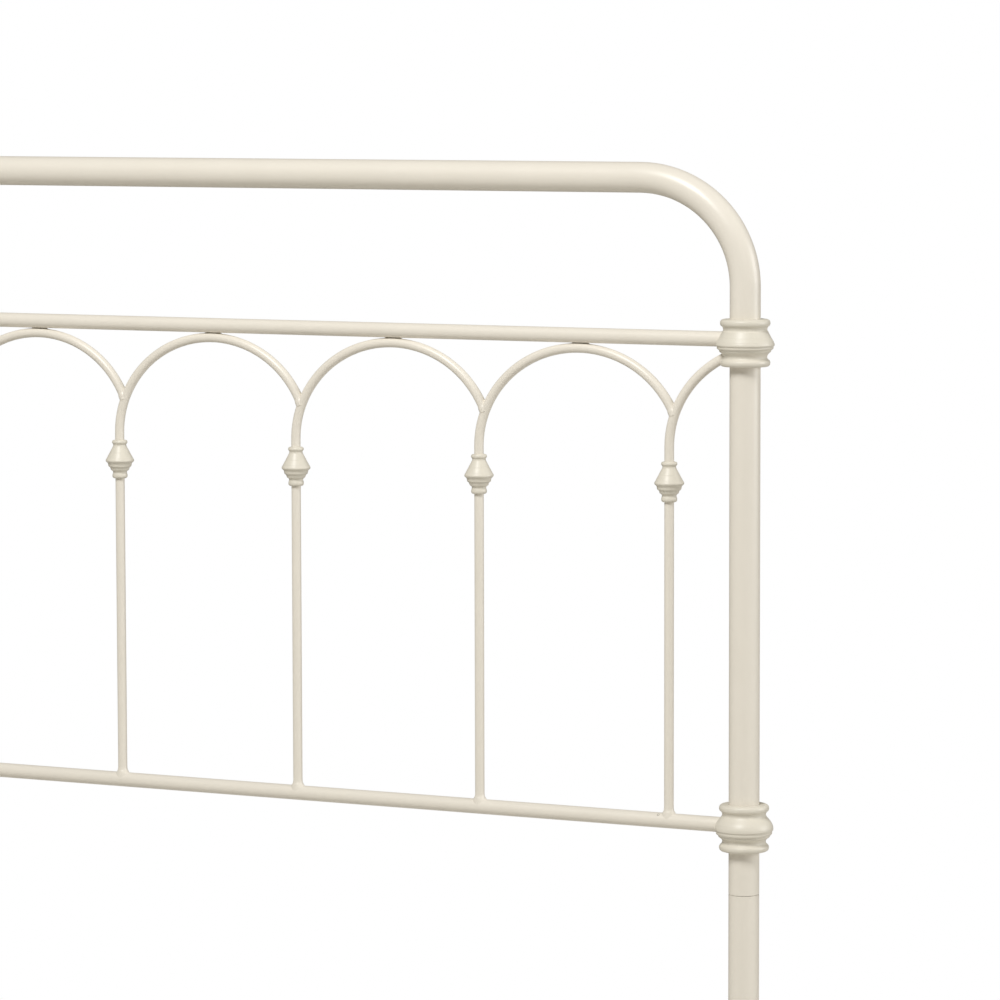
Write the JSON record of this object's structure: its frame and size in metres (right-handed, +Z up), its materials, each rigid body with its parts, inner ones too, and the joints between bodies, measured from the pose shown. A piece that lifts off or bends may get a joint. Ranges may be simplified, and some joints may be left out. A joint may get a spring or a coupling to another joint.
{
  "type": "metal bed frame",
  "caption": "Tubular steel bed frame with arched spindle headboard and footboard, hook-in side rails, cross slats and levelling feet.",
  "frame": {"origin": "centre of the bed's footprint on the floor", "axes": "+X towards the right of someone looking from the foot of the bed to its head, +Y from the foot to the head, +Z up"},
  "size_m": [1.6024, 2.1824, 1.3399],
  "materials": {
    "ivory_coat": "satin-gloss warm ivory powder coat on steel tube and die castings",
    "rail_coat": "satin ivory powder coat on the side rails and cross slats",
    "levelling_foot": "matt black nylon pad moulded on a steel stem",
    "zinc": "bright zinc plating on the lock bolts"
  },
  "bodies": {
    "frame": {"headboard_bow": "ivory_coat", "headboard_middle_rail": "ivory_coat", "headboard_lower_rail": "ivory_coat", "headboard_upper_collar_left": "ivory_coat", "headboard_upper_collar_right": "ivory_coat", "headboard_lower_collar_left": "ivory_coat", "headboard_lower_collar_right": "ivory_coat", "headboard_spindle_1": "ivory_coat", "headboard_spindle_2": "ivory_coat", "headboard_spindle_3": "ivory_coat", "headboard_spindle_4": "ivory_coat", "headboard_spindle_5": "ivory_coat", "headboard_spindle_6": "ivory_coat", "headboard_knot_1": "ivory_coat", "headboard_knot_2": "ivory_coat", "headboard_knot_3": "ivory_coat", "headboard_knot_4": "ivory_coat", "headboard_knot_5": "ivory_coat", "headboard_knot_6": "ivory_coat", "headboard_hoop_1": "ivory_coat", "headboard_hoop_2": "ivory_coat", "headboard_hoop_3": "ivory_coat", "headboard_hoop_4": "ivory_coat", "headboard_hoop_5": "ivory_coat", "headboard_hoop_6": "ivory_coat", "headboard_hoop_7": "ivory_coat", "headboard_leg_left": "ivory_coat", "headboard_leg_right": "ivory_coat", "leg_bolt_left": "zinc", "leg_bolt_right": "zinc", "footboard_bow": "ivory_coat", "footboard_middle_rail": "ivory_coat", "footboard_lower_rail": "ivory_coat", "footboard_upper_collar_left": "ivory_coat", "footboard_upper_collar_right": "ivory_coat", "footboard_lower_collar_left": "ivory_coat", "footboard_lower_collar_right": "ivory_coat", "footboard_spindle_1": "ivory_coat", "footboard_spindle_2": "ivory_coat", "footboard_spindle_3": "ivory_coat", "footboard_spindle_4": "ivory_coat", "footboard_spindle_5": "ivory_coat", "footboard_spindle_6": "ivory_coat", "footboard_arcade": "ivory_coat", "head_bracket_left": "ivory_coat", "head_bracket_right": "ivory_coat", "foot_bracket_left": "ivory_coat", "foot_bracket_right": "ivory_coat", "side_rail_left": "rail_coat", "side_rail_right": "rail_coat", "slat_head": "rail_coat", "slat_middle": "rail_coat", "slat_foot": "rail_coat"},
    "leveller_head_left": {"leveller_head_left": "levelling_foot"},
    "leveller_head_right": {"leveller_head_right": "levelling_foot"},
    "leveller_foot_left": {"leveller_foot_left": "levelling_foot"},
    "leveller_foot_right": {"leveller_foot_right": "levelling_foot"},
    "leveller_slat_head": {"leveller_slat_head": "levelling_foot"},
    "leveller_slat_middle": {"leveller_slat_middle": "levelling_foot"},
    "leveller_slat_foot": {"leveller_slat_foot": "levelling_foot"}
  },
  "joints": [
    {"name": "leveller_head_left_slide", "type": "slide", "parent": "frame", "child": "leveller_head_left", "axis": [0, 0, -1], "range_m": [0, 0.012]},
    {"name": "leveller_head_right_slide", "type": "slide", "parent": "frame", "child": "leveller_head_right", "axis": [0, 0, -1], "range_m": [0, 0.012]},
    {"name": "leveller_foot_left_slide", "type": "slide", "parent": "frame", "child": "leveller_foot_left", "axis": [0, 0, -1], "range_m": [0, 0.012]},
    {"name": "leveller_foot_right_slide", "type": "slide", "parent": "frame", "child": "leveller_foot_right", "axis": [0, 0, -1], "range_m": [0, 0.012]},
    {"name": "leveller_slat_head_slide", "type": "slide", "parent": "frame", "child": "leveller_slat_head", "axis": [0, 0, -1], "range_m": [0, 0.012]},
    {"name": "leveller_slat_middle_slide", "type": "slide", "parent": "frame", "child": "leveller_slat_middle", "axis": [0, 0, -1], "range_m": [0, 0.012]},
    {"name": "leveller_slat_foot_slide", "type": "slide", "parent": "frame", "child": "leveller_slat_foot", "axis": [0, 0, -1], "range_m": [0, 0.012]}
  ]
}
